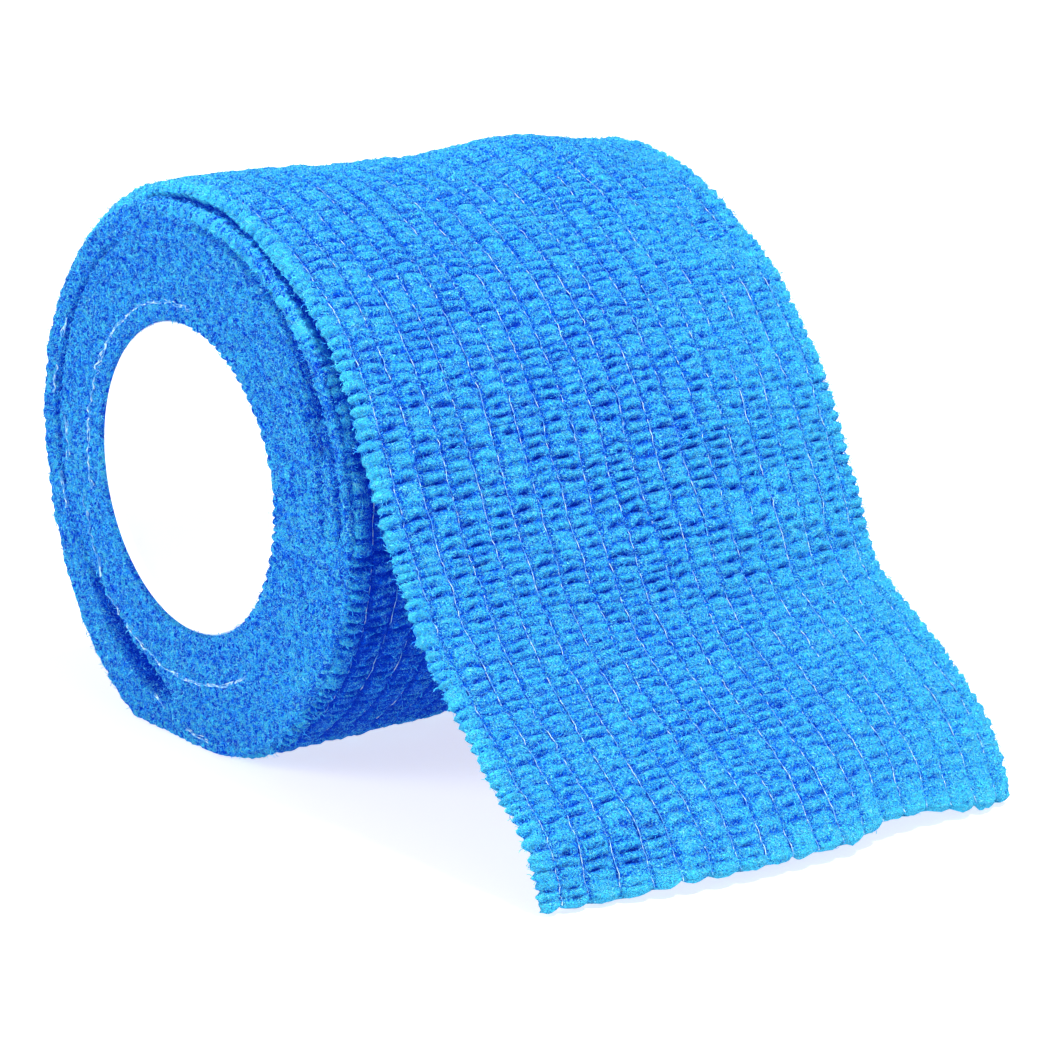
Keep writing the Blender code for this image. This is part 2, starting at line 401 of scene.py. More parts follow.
def strip_place(along, across, high):
    """Points `high` mm out from the felt's middle, at `along` and `across` the strip."""
    here, slope = strip_frame(along)
    share = smooth_step(0.0, 1.0, across / strip_width) * 0.6 + 0.4 * across / strip_width
    x = here[..., 0] + (here[..., 2] - here[..., 0]) * share
    z = here[..., 1] + (here[..., 3] - here[..., 1]) * share
    dx = slope[..., 0] + (slope[..., 2] - slope[..., 0]) * share
    dz = slope[..., 1] + (slope[..., 3] - slope[..., 1]) * share
    size = np.hypot(dx, dz)
    out_x, out_z = dz / size, -dx / size
    crown = here[..., 4] * 4.0 * (across / strip_width) * (1.0 - across / strip_width)
    drawn_in = 0.024 * np.exp(-((np.asarray(along) / 4.0) ** 2))
    y = near_y + here[..., 5] + across * (1.0 - drawn_in)
    over_top = np.exp(-(((np.asarray(along) - top_of_roll) / TOP_FADE) ** 2))
    hollow = FAR_EDGE_HOLLOW * smooth_step(0.78, 1.0, share)
    for depth, middle, width in TOP_HOLLOWS:
        hollow = hollow + depth * np.exp(-(((share - middle) / width) ** 2))
    out = high - (0.15 + 0.55 * share) - over_top * hollow
    lifts = smooth_step(0.5, 7.0, along)      # at the cut end the crown is level
    tip = np.exp(-((np.asarray(along) / 5.0) ** 2))
    x = x + tip * np.interp(across, *TIP_OUT)
    z = z + tip * np.interp(across, *TIP_LIFT)
    return np.stack([x + out_x * (out + crown), y, z + out_z * (out + crown * lifts)], axis=-1)


print("the strip crosses the top of the roll", round(top_of_roll, 1), "mm from its cut end")

# %% [markdown]
# ## The loose end
#
# The loose end is a closed shell: a finely puckered upper side, a plainer under
# side, and rounded edges where they meet. Its columns follow the threads, so that
# each thread lies in a clean groove. Along the edges each pucker swells into a
# small lobe, and at the cut end each rib does.

# %% Make a length of the strip
RIB_COLUMNS = (0.0, 0.06, 0.15, 0.28, 0.42, 0.58, 0.72, 0.85, 0.94)
EDGE_ROUNDING = 0.7
FUZZ_ON_TOP = 0.10         # loose fibres on the flat, as a share of those on a rim
UNDER_EVERY = 4            # the under side has one column for so many on top
LOBE_REACH = 0.7           # mm in from an edge over which its lobes fade
STRIP_GAP = 0.02           # mm, the least that the strip stays above the table
END_ROWS, TURN_ROWS = 440, 340


def rib_places():
    """The strip's columns, counted in ribs from the first thread."""
    first, last = -MARGIN / THREAD_PITCH, (strip_width - MARGIN) / THREAD_PITCH
    whole = [rib + part for rib in range(-1, THREADS) for part in RIB_COLUMNS]
    inside = [place for place in whole if first + 0.03 < place < last - 0.03]
    places = [first, first + 0.015] + inside + [last - 0.015, last]
    while (len(places) - 1) % UNDER_EVERY:
        places.insert(2, (places[1] + places[2]) / 2)
    return np.array(places)[None, :]


def edge_round(distance):
    """1 on the flat of the felt, falling to 0 round its edge."""
    inward = np.clip(distance / EDGE_ROUNDING, 0.0, 1.0)
    return np.sqrt(np.clip(1.0 - (1.0 - inward) ** 2, 0.0, 1.0))


def lobed(along, rib_place, high, cut_end):
    """Where the felt really is once its edges swell into lobes."""
    across = across_strip(along, rib_place)
    left, right = across - across[:, :1], across[:, -1:] - across
    for inward, column, side in ((left, 4, -1.0), (right, -5, 1.0)):
        lobe = 0.95 * (high[:, column:column + 1] - 0.42) + 0.16 * wander(
            along / 0.38, side * 9.0, seed=21) - 0.10
        across = across + side * lobe * np.exp(-inward / LOBE_REACH)
    if cut_end:
        raised = 0.28 * smooth_step(9.0, 14.5, across) * (1 - 0.9 * smooth_step(34, 48, across))
        rib_bulge = np.abs(np.sin(np.pi * (rib_place - np.floor(rib_place)))) ** 0.5
        notch = 0.42 * (1.0 - rib_bulge) + 0.14 * wander(rib_place * 5.0, 2.0, seed=22)
        corner = 0.16 * np.exp(-np.minimum(left, right) / 0.45)
        along = along + (raised + notch + corner) * np.exp(-along / 1.6)
    return along, across


def felt_object(mesh, attributes):
    """Stores on a felt mesh how it lies at each vertex, and puts it in the scene."""
    for title, values in attributes.items():
        mesh.attributes.new(title, "FLOAT", "POINT").data.foreach_set("value", values.reshape(-1))
    mesh.shade_smooth()
    mesh.update()
    print(mesh.name, len(mesh.polygons), "faces")
    return in_scene(mesh.name, mesh)


def strip_mesh(name, start, stop, rows, cut_end=False, tucked=False):
    """A closed length of the strip."""
    along = np.linspace(start, stop, rows + 1)[:, None]
    place = rib_places()
    high, crease, count = felt_relief(along, place)
    inward = np.minimum(place - place[:, :1], place[:, -1:] - place) * THREAD_PITCH
    rounding = edge_round(inward) * np.ones_like(along)
    if cut_end:
        rounding = rounding * edge_round(along + 0.02)
    moved_along, across = lobed(along, place, high, cut_end)
    upper = strip_place(moved_along, across, (FELT_HALF + high) * rounding)
    under_pick = slice(0, None, UNDER_EVERY)
    under_high = (FELT_HALF + 0.6 * np.clip(high, 0, None)) * rounding
    under = strip_place(moved_along, across, -under_high)[:, under_pick]
    points = np.vstack([upper.reshape(-1, 3), under.reshape(-1, 3)])
    points[:, 2] = np.maximum(points[:, 2], STRIP_GAP)
    wide, narrow = upper.shape[1], under.shape[1]
    top = np.arange((rows + 1) * wide).reshape(rows + 1, wide)
    low = np.arange((rows + 1) * narrow).reshape(rows + 1, narrow) + top.size

    def quads(a, b, c, d):
        return np.stack([x.reshape(-1) for x in (a, b, c, d)], axis=1).tolist()

    faces = quads(top[:-1, :-1], top[:-1, 1:], top[1:, 1:], top[1:, :-1])
    faces += quads(low[:-1, :-1], low[1:, :-1], low[1:, 1:], low[:-1, 1:])
    faces += quads(top[:-1, :1], top[1:, :1], low[1:, :1], low[:-1, :1])
    faces += quads(top[1:, -1:], top[:-1, -1:], low[:-1, -1:], low[1:, -1:])
    for row, turned in ((0, True), (rows, False)):
        for i in range(narrow - 1):
            ring = [*top[row, i * UNDER_EVERY:(i + 1) * UNDER_EVERY + 1],
                    low[row, i + 1], low[row, i]]
            faces.append([int(v) for v in (ring[::-1] if turned else ring)])
    mesh = bpy.data.meshes.new(name)
    mesh.from_pydata((points * MM).tolist(), [], faces)
    # The outer turn gets painted shade where it lies under the loose end: its crease value, and so
    # its colour, is darker there.
    if tucked:
        painted_under_end_shade = smooth_step(6, 14, upper[..., 0]) * smooth_step(42, 32, upper[..., 2])
        crease = crease * (1.0 + 0.9 * painted_under_end_shade) + 0.22 * painted_under_end_shade
    # Nearness to a rim thickens the fuzz; in the felt's colour it is a painted highlight along the
    # edges and the cut end.
    rim_fuzz_and_highlight = np.exp(-inward / 0.8) * np.ones_like(along)
    fuzz = np.clip(FUZZ_ON_TOP + rim_fuzz_and_highlight, 0.0, 1.0) * smooth_step(1.0, 2.6, upper[..., 2])
    if cut_end:
        rim_fuzz_and_highlight = np.maximum(rim_fuzz_and_highlight, np.exp(-np.maximum(along, 0.0) / 0.9))

    def on_both_sides(values, below=1.0):
        return np.concatenate([values.reshape(-1), below * values[:, under_pick].reshape(-1)])

    cut_rows = {int(v) for row in (0, rows) for v in (*top[row], *low[row])}
    sharp = [set(edge.vertices) <= cut_rows for edge in mesh.edges]
    mesh.attributes.new("sharp_edge", "BOOLEAN", "EDGE").data.foreach_set("value", sharp)
    return felt_object(mesh, {"crease": on_both_sides(crease), "pucker": on_both_sides(count),
                              "rim_fuzz_and_highlight": on_both_sides(rim_fuzz_and_highlight), "fuzz": on_both_sides(fuzz, 0.0)})


SEAM = top_of_roll + 19.0   # behind the top, out of the way
loose_end = strip_mesh("loose_end_felt", 0.0, SEAM, END_ROWS, cut_end=True)
outer_turn = strip_mesh("outer_turn_felt", SEAM, float(path_length[-1]) - 1.0, TURN_ROWS,
                        tucked=True)

# %% [markdown]
# ## The wound turns
#
# The end of the roll shows the cut edges of some twenty turns, pressed together
# into a felted face. Each turn stands out a little more or less than the next. At
# the bottom the outer turns have gone slack and part from the rest. A second, thin
# gap opens on the side of the loose end, and three grooves are only shallow. The face
# is made of rings of vertices that follow a spiral rule, with a rounded shoulder that
# goes in under the outer turn.

# %% Set out the turns
TURN_PITCH = 0.53
SHOULDER = 0.55
SHOULDER_RINGS = 5
SIDE_INSETS = (0.4, 0.9, 1.5, 2.2, 3.0, 4.0)      # rings in under the outer turn
TUFT_PITCH = 1.15          # mm between tufts round the core
TABLE_GAP = 0.03           # mm, the least that faces and fuzz stay above the table
BODY_OUTLINE = [        # angle up from +X, radius of the wound body
    (0.0, 24.90), (20.0, 24.95), (38.0, 24.85), (52.0, 24.85), (66.0, 24.80),
    (80.0, 24.50), (95.0, 24.50), (112.0, 24.80), (130.0, 24.60), (150.0, 24.45),
    (170.0, 24.40), (190.0, 24.15), (206.0, 24.80), (222.0, 25.50), (238.0, 26.30),
    (252.0, 26.60), (270.0, 25.20), (288.0, 24.80), (304.0, 24.40), (320.0, 24.20),
    (340.0, 24.60),
]
# Gaps between turns: start and end angle, radius at each, width, depth, and where
# along its length the gap is widest.
TURN_GAPS = [
    (206.0, 263.0, 20.5, 21.3, 2.1, 5.0, 0.66),
    (16.0, 54.0, 22.0, 23.4, 0.75, 3.0, 0.45),
    (112.0, 215.0, 22.3, 21.2, 0.55, 1.1, 0.6),
    (-42.0, 92.0, 23.7, 23.0, 0.42, 1.2, 0.5),
    (-30.0, 40.0, 21.0, 21.2, 0.30, 0.6, 0.5),
]


def body_radius(angle):
    """The wound body's radius at an angle in degrees, smoothly all the way round."""
    rows = BODY_OUTLINE[-2:] + BODY_OUTLINE + BODY_OUTLINE[:3]
    turns = [-1, -1] + [0] * len(BODY_OUTLINE) + [1, 1, 1]
    table = smooth_rows([(a + 360.0 * t, r) for (a, r), t in zip(rows, turns)], 10)
    radius = np.interp(angle, table[:, 0], table[:, 1])
    down = -np.sin(np.radians(angle))
    limit = np.where(down > 0.5, (axis_height + 0.10) / np.maximum(down, 0.5), 99.0)
    return np.minimum(radius, limit)


def gap_depth(angle, radius):
    """How far in the face goes at a gap between two turns."""
    deep = np.zeros(np.broadcast(angle, radius).shape)
    for start, end, near_start, near_end, width, depth, widest in TURN_GAPS:
        t = np.clip((angle - start) / (end - start), 0.0, 1.0)
        bend = math.log(0.5) / math.log(widest)
        half = 0.5 * width * np.sin(np.pi * t ** bend) + 0.12 * wander(angle / 3.0, 1.0, seed=31)
        middle = near_start + (near_end - near_start) * t
        inside = smooth_step(0.30, -0.10, np.abs(radius - middle) - half)
        deep = np.maximum(deep, depth * inside * smooth_step(0.0, 0.12, t * (1 - t)))
    return deep


def face_relief(angle, radius):
    """How far the turns' edges stand out of the face, and how much painted crease shade each place
    gets.
    """
    turns = (radius - core_radius) / TURN_PITCH - angle / 360.0
    x, z = radius * np.cos(np.radians(angle)), radius * np.sin(np.radians(angle))
    wave = 0.30 * wander(x / 0.8, z / 0.8, seed=32) + 0.20 * wander(x / 2.2, z / 2.2, seed=33)
    number = np.floor(turns + wave)
    in_turn = turns + wave - number
    wound = np.radians(angle + 360.0 * number) * 20.0
    stand = 0.20 * (scramble(number, seed=34) - 0.5) + 0.14 * wander(wound / 9.0, number, seed=35)
    bulge = np.sin(np.pi * in_turn) ** 0.7
    pucker = 0.5 + 0.5 * wander(wound / 0.55, number * 3.1, seed=36)
    nap = (0.11 * wander(x / 0.55, z / 0.55, seed=37) + 0.15 * wander(x / 0.34, z / 0.34, seed=38))
    high = 0.14 * bulge * (0.35 + 0.65 * pucker) + 0.5 * stand + nap
    # The crease value is painted shade: darker in the grooves between turns, paler where the nap
    # rises.
    crease = np.clip(0.50 - 0.25 * bulge * pucker - 1.9 * nap, -0.3, 1.25)
    return high, crease


def wound_face(name, side, around, inward_rings):
    """One end of the wound body: side -1 faces -Y, side +1 faces +Y."""
    angle = np.linspace(0.0, 360.0, around, endpoint=False)[None, :]
    ring = np.linspace(0.0, 1.0, inward_rings + 1)[:, None]
    edge = body_radius(angle)
    if side > 0:
        edge = edge - 2.1 * smooth_step(10, 40, angle) * smooth_step(160, 70, angle)
    inner = core_radius + 0.02
    flat_edge = edge - SHOULDER
    radius = inner + (flat_edge - inner) * ring
    high, crease = face_relief(angle, radius)
    deep = gap_depth(angle, radius)
    tuft_count = (np.radians(angle) * core_radius / TUFT_PITCH
                  + 0.8 * wander(angle / 9.0, 2.0, seed=61))
    tuft = np.abs(np.sin(np.pi * tuft_count)) ** 0.6 * (
        0.35 + 0.65 * scramble(np.floor(tuft_count), seed=62))
    lip = (0.10 + 0.42 * tuft) * np.exp(-(radius - inner) / 0.5)
    rise = high * smooth_step(-0.05, 0.6, radius - inner) - deep + lip
    # Painted shade in the gaps between turns, on top of their real depth.
    crease = crease + deep / 2.4
    bend = np.radians(np.linspace(0.0, 90.0, SHOULDER_RINGS + 1)[1:])[:, None]
    lobe, lobe_crease = face_relief(angle, edge + 0.1)
    swell = 0.7 * (lobe - 0.1)
    shoulder_radius = flat_edge + (SHOULDER + swell) * np.sin(bend)
    shoulder_inset = (1 - np.cos(bend)) * SHOULDER - high[-1:] * np.cos(bend)
    side_inset = np.array(SIDE_INSETS)[:, None] + SHOULDER
    pattern = wander(np.radians(angle) * 25.0 / 0.6, side_inset / 0.5, seed=39)
    side_radius = edge + swell * np.exp(-side_inset) + 0.18 * pattern - 0.1
    tucked = np.full_like(angle, core_radius - 0.10)
    all_radius = np.vstack([tucked, radius, shoulder_radius, side_radius])
    all_inset = np.vstack([np.full_like(angle, 0.5), -rise, shoulder_inset,
                           side_inset * np.ones_like(angle)])
    # The rings in under the outer turn get a fixed painted shade.
    all_crease = np.vstack([crease[:1], crease, np.repeat(lobe_crease, SHOULDER_RINGS, axis=0),
                            np.full_like(side_radius, 0.7)])
    y = (near_y + all_inset) if side < 0 else (far_y - all_inset)
    turn = np.radians(angle)
    all_fuzz = np.where(all_inset > SHOULDER + 0.7, 0.0, 0.5) * smooth_step(
        0.4, 1.4, axis_height + all_radius * np.sin(turn))
    all_z = np.maximum(axis_height + all_radius * np.sin(turn), TABLE_GAP)
    points = np.stack([all_radius * np.cos(turn), y * np.ones_like(all_radius), all_z], axis=-1)
    rings = points.shape[0]
    index = np.arange(rings * around).reshape(rings, around)
    ahead = np.roll(index, -1, axis=1)
    corners = (index[:-1], ahead[:-1], ahead[1:], index[1:])
    corners = corners if side > 0 else corners[::-1]
    faces = np.stack([c.reshape(-1) for c in corners], axis=1).tolist()
    mesh = bpy.data.meshes.new(name)
    mesh.from_pydata((points.reshape(-1, 3) * MM).tolist(), [], faces)
    return felt_object(mesh, {"crease": all_crease, "pucker": np.full_like(all_crease, 0.5),
                              "rim_fuzz_and_highlight": np.zeros_like(all_crease), "fuzz": all_fuzz})


near_face = wound_face("wound_turns_near", -1, around=720, inward_rings=64)
far_face = wound_face("wound_turns_far", 1, around=480, inward_rings=40)

# %% [markdown]
# ## The core tube
#
# The core is a short extruded tube. A Screw modifier could turn its wall's section
# about the axis. Here the section, with its rounded rims, is repeated round the axis
# by arithmetic and the last copy is joined to the first, so no seam is left to close.

# %% Turn the core tube
CORE_WALL = 1.3
RIM_ROUNDING = 0.35
RIM_STEPS = 4              # to a quarter turn of a rim
CORE_STEPS = 160


def core_section():
    outer, inner, half = core_radius - 0.02, core_radius - CORE_WALL, strip_width / 2
    rounding, section = RIM_ROUNDING, []
    for radius, height, start in ((outer - rounding, half - rounding, 90.0),
                                  (outer - rounding, rounding - half, 0.0),
                                  (inner + rounding, rounding - half, -90.0),
                                  (inner + rounding, half - rounding, -180.0)):
        for i in range(RIM_STEPS + 1):
            turn = math.radians(start - 90.0 / RIM_STEPS * i)
            section.append((radius + rounding * math.cos(turn),
                            height + rounding * math.sin(turn)))
    return section


section = core_section()
turn = np.linspace(0.0, 2 * np.pi, CORE_STEPS, endpoint=False)
core_points = [(r * math.cos(t), -h, axis_height + r * math.sin(t))
               for t in turn for r, h in section]
count = len(section)
core_faces = [(i * count + j, i * count + (j + 1) % count,
               (i + 1) % CORE_STEPS * count + (j + 1) % count, (i + 1) % CORE_STEPS * count + j)
              for i in range(CORE_STEPS) for j in range(count)]
core_mesh = bpy.data.meshes.new("core_tube_smooth")
core_mesh.from_pydata([tuple(c * MM for c in p) for p in core_points], [], core_faces)
core_mesh.shade_smooth()
core = in_scene("core_tube_smooth", core_mesh)
print("core tube:", len(core_mesh.polygons), "faces")

# %% [markdown]
# ## Painting with sockets
#
# A material is a small program of nodes. Two helper classes let it be written as
# one: `Wire` is a node's output, and Python's own arithmetic on it adds Math
# nodes; `Finish` is the material, and its `node` method adds any other node.

# %% Make the helpers for materials
class Wire:
    """One output of a node. Maths on it adds Math nodes."""

    def __init__(self, finish, socket):
        self.finish, self.socket = finish, socket

    def maths(self, operation, first, second=0.0):
        return self.finish.node("ShaderNodeMath", {"operation": operation},
                                {0: first, 1: second})

    def __add__(self, other):
        return self.maths("ADD", self, other)

    def __mul__(self, other):
        return self.maths("MULTIPLY", self, other)

    def __sub__(self, other):
        return self.maths("SUBTRACT", self, other)

    def __rsub__(self, other):
        return self.maths("SUBTRACT", other, self)

    __radd__, __rmul__ = __add__, __mul__

    def sine(self):
        return self.maths("SINE", self)

    def absolute(self):
        return self.maths("ABSOLUTE", self)

    def band(self, low, high):
        """0 below low, 1 above high, smooth between."""
        return self.finish.node("ShaderNodeMapRange", {"interpolation_type": "SMOOTHSTEP"},
                                {"Value": self, "From Min": low, "From Max": high})


class Finish:
    """A material that is built node by node."""

    def __init__(self, name):
        self.material = bpy.data.materials.new(name)
        self.material.use_nodes = True
        self.tree = self.material.node_tree
        self.shader = self.tree.nodes["Principled BSDF"]

    def plug(self, socket, value):
        if isinstance(value, Wire):
            self.tree.links.new(value.socket, socket)
        else:
            socket.default_value = value

    def node(self, kind, settings=None, sockets=None, output=0):
        node = self.tree.nodes.new(kind)
        for name, value in (settings or {}).items():
            setattr(node, name, value)
        for name, value in (sockets or {}).items():
            self.plug(node.inputs[name], value)
        return Wire(self, node.outputs[output])

    def place(self):
        return self.node("ShaderNodeTexCoord", output="Object")

    def stored(self, title):
        """A number that the mesh keeps at each vertex."""
        return self.node("ShaderNodeAttribute", {"attribute_name": title}, output="Fac")

    def noise(self, place, size, detail=2.0, rough=0.5, twist=0.0):
        """Noise with features about `size` mm across."""
        return self.node("ShaderNodeTexNoise", None, {
            "Vector": place, "Scale": 1.0 / (size * MM), "Detail": detail,
            "Roughness": rough, "Distortion": twist})

    def blend(self, share, first, second):
        """Two colours mixed: a Mix node, whose colour sockets are numbers 6 and 7."""
        return self.node("ShaderNodeMix", {"data_type": "RGBA"},
                         {0: share, 6: first, 7: second}, output=2)

    def bump(self, height, depth):
        """A bump of `depth` mm where the height is 1."""
        return self.node("ShaderNodeBump", None, {
            "Height": height, "Distance": depth * MM, "Strength": 1.0})

    def surface(self, **sockets):
        for name, value in sockets.items():
            self.plug(self.shader.inputs[name.replace("_", " ")], value)
        return self.material


print("helpers ready")

# %% [markdown]
# ## Blue felt
#
# The felt is a mat of fine dyed fibres, and its colour carries painted light: palest
# where the nap stands up, and painted shade, deep blue, down in the creases. The meshes
# have stored how deep in a crease each point is, where it is in its pucker and how near
# it is to a rim, which gets a painted highlight. Noise adds the rest: a fine grain,
# curled fibres, a coarser mottling, a few pale ends and, on the cut edges, dark specks;
# the curled fibres and pale ends are partly fibre texture and partly painted highlight.
# A faint blue glow is painted light that keeps the felt's shaded parts a saturated blue.

# %% Mix the felt
# CREST is the felt's colour on lit tops, MIDDLE and DEEP its colour in the painted shade of
# creases, PALE its pale fibre ends and painted highlights, and the last one a blue glow that is
# painted light.
CREST = (0.056, 0.640, 0.880, 1.0)
MIDDLE = (0.002, 0.112, 0.670, 1.0)
DEEP = (0.0001, 0.044, 0.520, 1.0)
PALE = (0.240, 0.860, 1.000, 1.0)
PAINTED_BLUE_GLOW = (0.0, 0.006, 0.190, 1.0)


def blue_felt(name, specks):
    felt = Finish(name)
    place = felt.place()
    crease, pucker, rim_fuzz_and_highlight = (felt.stored(title) for title in ("crease", "pucker", "rim_fuzz_and_highlight"))
    rise = (pucker * math.pi).sine().absolute()
    grain = felt.noise(place, 0.17, rough=0.7, twist=0.5)
    clump = felt.noise(place, 0.50, rough=0.6, twist=1.0)
    patch = felt.noise(place, 1.30, detail=1.0)
    curls = felt.noise(place, 0.50, detail=0.0, twist=1.8)
    loops = felt.noise(place, 0.34, detail=0.0, twist=1.4)
    # Smooth noise passes through a value near its middle along thin winding lines.
    curl = 1.0 - (curls * 2.0 - 1.0).absolute() * 4.0
    loop = 1.0 - (loops * 2.0 - 1.08).absolute() * 3.6
    fibre = curl.band(0.35, 0.95) * 0.9 + loop.band(0.35, 0.95) * 0.7
    speck = felt.noise(place, 0.46, detail=1.0, rough=0.6, twist=0.4).band(0.53, 0.66) * specks
    # Dark lines in the creases between puckers: painted shade.
    shaded_crease_lines = (1.0 - rise).band(0.50, 0.97) * crease.band(0.40, 1.10) * patch.band(0.30, 0.52)
    # This depth picks the colour: painted shade from the creases and their lines, random grain,
    # mottling and specks, and painted highlight where fibres and rims lighten it.
    depth = (crease * 1.12 + shaded_crease_lines * 0.60 + (0.5 - grain) * 3.2 + (0.5 - clump) * 0.8
             - fibre * 0.25 - rim_fuzz_and_highlight * 0.65 + speck - specks * 0.10 - 0.14)
    light_to_mid = felt.blend(depth.band(-0.40, 0.62), CREST, MIDDLE)
    body = felt.blend(depth.band(0.55, 1.35), light_to_mid, DEEP)
    # Pale fibre ends, kept out of the creases: partly fibre texture, partly painted highlight.
    ends = fibre.band(0.30, 1.0) * grain.band(0.38, 0.60) * (1.0 - crease.band(0.50, 1.3) * 0.8)
    colour = felt.blend(ends * 0.85, body, PALE)
    nap = felt.bump(grain * 0.8 + fibre * 0.50 - shaded_crease_lines * 0.5 + clump * 0.6, 0.42)
    # The faint blue glow is painted light.
    return felt.surface(Base_Color=colour, Roughness=0.82, Normal=nap,
                        Sheen_Weight=0.01, Sheen_Roughness=0.40,
                        Sheen_Tint=(0.30, 0.75, 1.0, 1.0), Specular_IOR_Level=0.02,
                        Emission_Color=PAINTED_BLUE_GLOW, Emission_Strength=1.0)


strip_felt = blue_felt("blue_felt_fibres", specks=0.0)
face_felt = blue_felt("blue_felt_cut_edges", specks=0.9)
for piece in (loose_end, outer_turn):
    piece.data.materials.append(strip_felt)
for piece in (near_face, far_face):
    piece.data.materials.append(face_felt)
print("felt on", [p.name for p in (loose_end, outer_turn, near_face, far_face)])

# %% [markdown]
# ## White plastic and the table
#
# The core is plain extruded plastic: satin, with faint drawing lines along it. The
# table is white paper. The core glows faintly and the paper strongly: they stay white
# where the lamps alone would leave them grey, and the felt gets light from below.

# %% Mix the plastic and the paper
CORE_GLOW, PAPER_GLOW = 0.13, 0.68


def white_plastic(name):
    plastic = Finish(name)
    place = plastic.place()
    drawn = plastic.node("ShaderNodeMapping", None, {"Vector": place, "Scale": (1.0, 0.03, 1.0)})
    lines = plastic.noise(drawn, 0.5)
    cloud = plastic.noise(place, 6.0)
    colour = plastic.blend(cloud, (0.90, 0.91, 0.92, 1.0), (0.84, 0.85, 0.87, 1.0))
    return plastic.surface(Base_Color=colour, Roughness=0.30 + lines * 0.12,
                           Normal=plastic.bump(lines, 0.01), Specular_IOR_Level=0.45,
                           Emission_Color=(1.0, 1.0, 1.0, 1.0), Emission_Strength=CORE_GLOW)


def white_paper(name):
    paper = Finish(name)
    grain = paper.noise(paper.place(), 0.8)
    return paper.surface(Base_Color=(0.60, 0.60, 0.60, 1.0), Roughness=0.9 - grain * 0.05,
                         Specular_IOR_Level=0.1, Emission_Color=(1.0, 0.985, 0.940, 1.0),
                         Emission_Strength=PAPER_GLOW)


core_mesh.materials.append(white_plastic("white_core_plastic"))
table.data.materials.append(white_paper("white_paper"))
print("plastic and paper mixed")

# %% [markdown]
# ## Elastic threads
#
# Each thread is a thin pale yarn in the groove between two ribs. The felt grips it
# at every pucker, so that it shows as a row of short dashes. The threads' routes
# are drawn as edges, and a Geometry Nodes tree turns every edge into yarn.

# %% Draw the threads' routes
END_STEP, TURN_STEP = 0.42, 0.80          # mm from point to point along a thread
THREAD_START = 0.6         # mm in from the cut end


def thread_route(start, stop, step, thread):
    along = np.arange(start, stop, step)
    high = (FELT_HALF + 0.21 + 0.11 * wander(along / 0.75, thread * 3.3, seed=41)
            + 0.08 * wander(along / 2.4, thread * 1.7, seed=42))
    across = across_strip(along, np.full_like(along, float(thread)))
    across = across + 0.14 * wander(along / 0.60, thread * 2.9, seed=43)
    return strip_place(along, across, high)


def route_object(name, routes):
    points, edges = [], []
    for route in routes:
        first = len(points)
        points += (route * MM).tolist()
        edges += [(i, i + 1) for i in range(first, len(points) - 1)]
    mesh = bpy.data.meshes.new(name)
    mesh.from_pydata(points, edges, [])
    return in_scene(name, mesh)


end_threads = route_object("elastic_threads", [
    thread_route(THREAD_START, SEAM, END_STEP, thread) for thread in range(THREADS)])
turn_threads = route_object("elastic_threads_outer_turn", [
    thread_route(SEAM, path_length[-1] - 2.0, TURN_STEP, thread)
    for thread in range(THREADS)])
print("thread points:", len(end_threads.data.vertices), len(turn_threads.data.vertices))

# %% [markdown]
# The tree has two named sizes, the yarn's radius and its number of sides. An edge
# mesh becomes curves, the curves get a small round section, and the yarn's finish
# is set inside the tree.

# %% Turn routes into yarn
def new_tree(name, sizes):
    """A Geometry Nodes tree with named number inputs, and its in and out nodes."""
    tree = bpy.data.node_groups.new(name, "GeometryNodeTree")
    tree.interface.new_socket("Geometry", in_out="INPUT", socket_type="NodeSocketGeometry")
    for label, (kind, value) in sizes.items():
        tree.interface.new_socket(label, in_out="INPUT", socket_type=kind).default_value = value
    tree.interface.new_socket("Geometry", in_out="OUTPUT", socket_type="NodeSocketGeometry")
    return tree, tree.nodes.new("NodeGroupInput"), tree.nodes.new("NodeGroupOutput")


def add(tree, kind, settings=None, **links):
    """Adds a node; each link is a socket's name with _ for spaces, and its source."""
    node = tree.nodes.new(kind)
    for name, value in (settings or {}).items():
        setattr(node, name, value)
    for name, value in links.items():
        socket = node.inputs[name.replace("_", " ")]
        if isinstance(value, bpy.types.NodeSocket):
            tree.links.new(value, socket)
        else:
            socket.default_value = value
    return node


def made_real(obj, tree, sizes):
    """Runs a tree on an object with these sizes, and keeps the result as its mesh."""
    modifier = obj.modifiers.new(tree.name, "NODES")
    modifier.node_group = tree
    for item in tree.interface.items_tree:
        if item.item_type == "SOCKET" and item.in_out == "INPUT" and item.name in sizes:
            modifier[item.identifier] = sizes[item.name]
    graph = bpy.context.evaluated_depsgraph_get()
    mesh = bpy.data.meshes.new_from_object(obj.evaluated_get(graph))
    obj.modifiers.remove(modifier)
    obj.data = mesh
    mesh.name = obj.name
    print(obj.name, len(mesh.polygons), "faces")
    return obj


def painted(tree, geometry, material):
    """Makes a tree's instances real and paints them."""
    real = add(tree, "GeometryNodeRealizeInstances", Geometry=geometry)
    return add(tree, "GeometryNodeSetMaterial", Geometry=real.outputs["Geometry"],
               Material=material).outputs["Geometry"]


